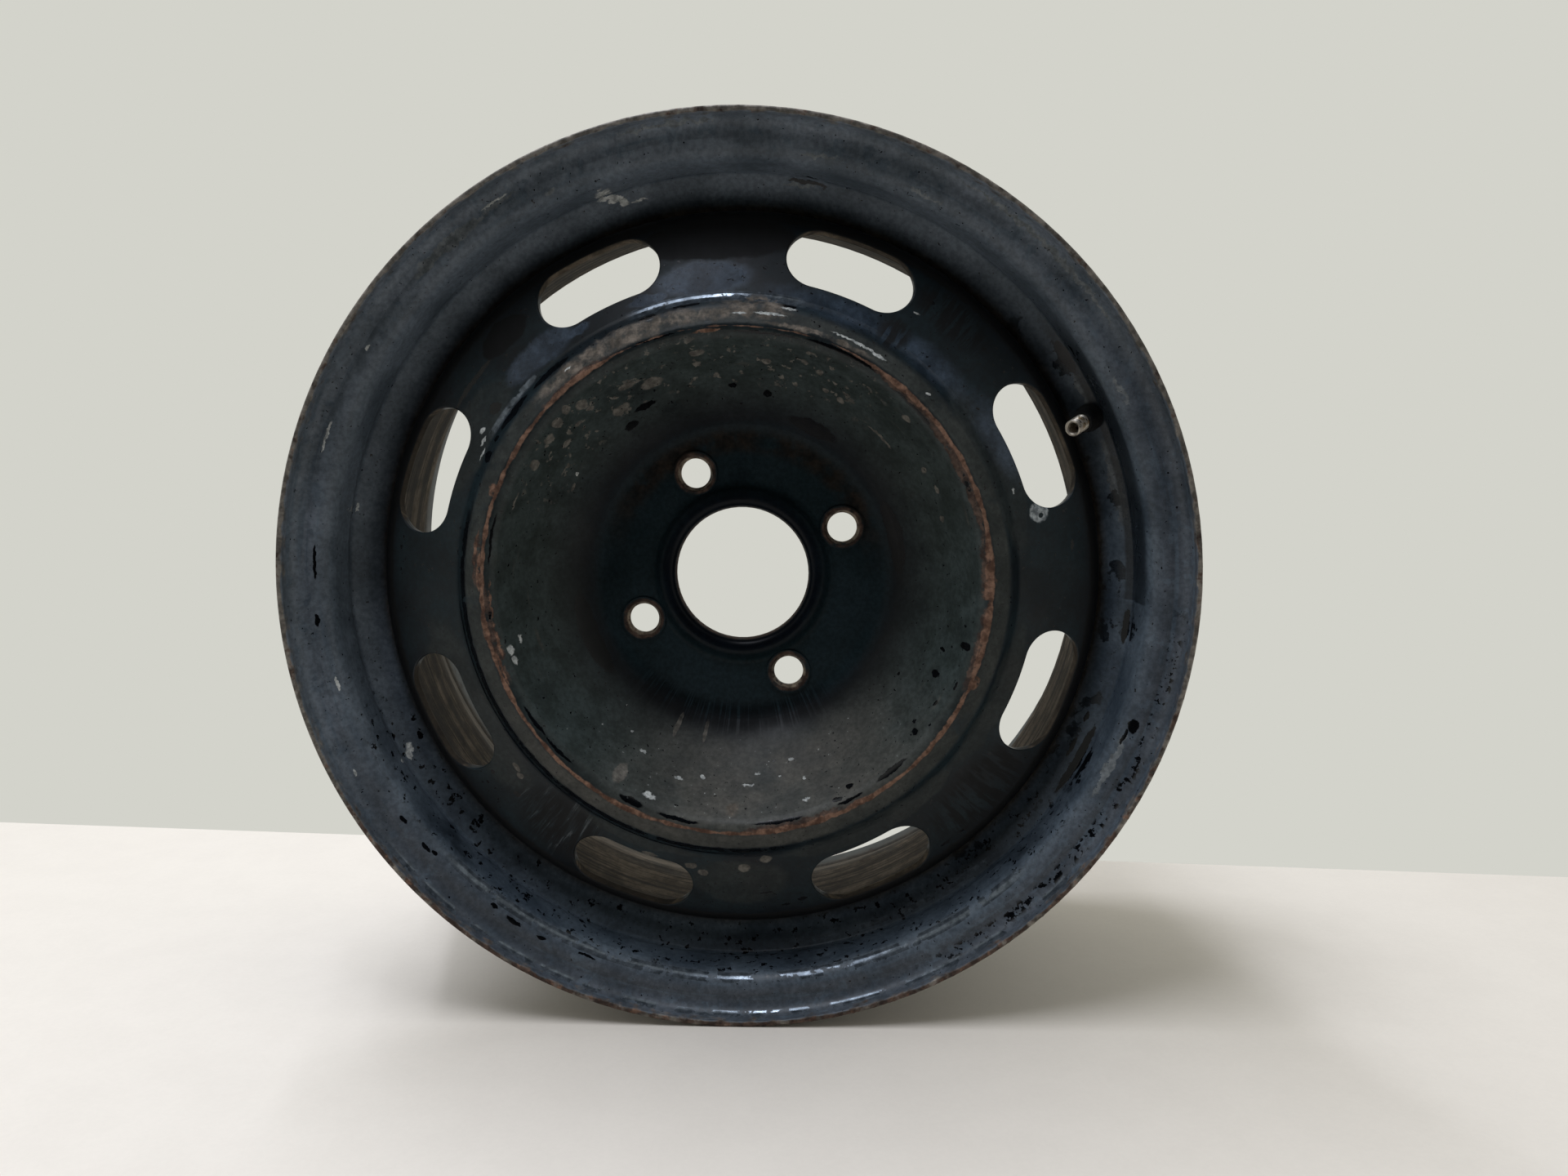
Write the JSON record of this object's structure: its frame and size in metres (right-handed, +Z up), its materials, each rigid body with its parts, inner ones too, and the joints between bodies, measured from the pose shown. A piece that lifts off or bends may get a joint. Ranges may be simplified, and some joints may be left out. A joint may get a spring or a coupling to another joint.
{
  "type": "car steel wheel",
  "caption": "Pressed steel road wheel: rolled drop-centre rim with a bowl-shaped vented disc, conical bolt seats, centre bore and a snap-in rubber valve; worn black paint.",
  "frame": {"origin": "on the wheel axis at the rim's mid-plane, half way between the two bead seats", "axes": "+Y along the wheel axis towards the vehicle, so -Y is the outboard face; +Z up as the wheel stands in the picture; +X to the right when the outboard face is looked at"},
  "size_m": [0.4148, 0.1774, 0.4147],
  "materials": {
    "rim_paint": "semi-gloss black paint, scratched and flaked, bare worn lip",
    "disc_paint": "dusty black paint with a rusted crest line",
    "valve_rubber": "aged black rubber",
    "valve_metal": "dull plated brass, threaded"
  },
  "bodies": {
    "root": {"rim": "rim_paint", "disc": "disc_paint", "valve_body": "valve_rubber", "valve_stem": "valve_metal"}
  },
  "joints": []
}
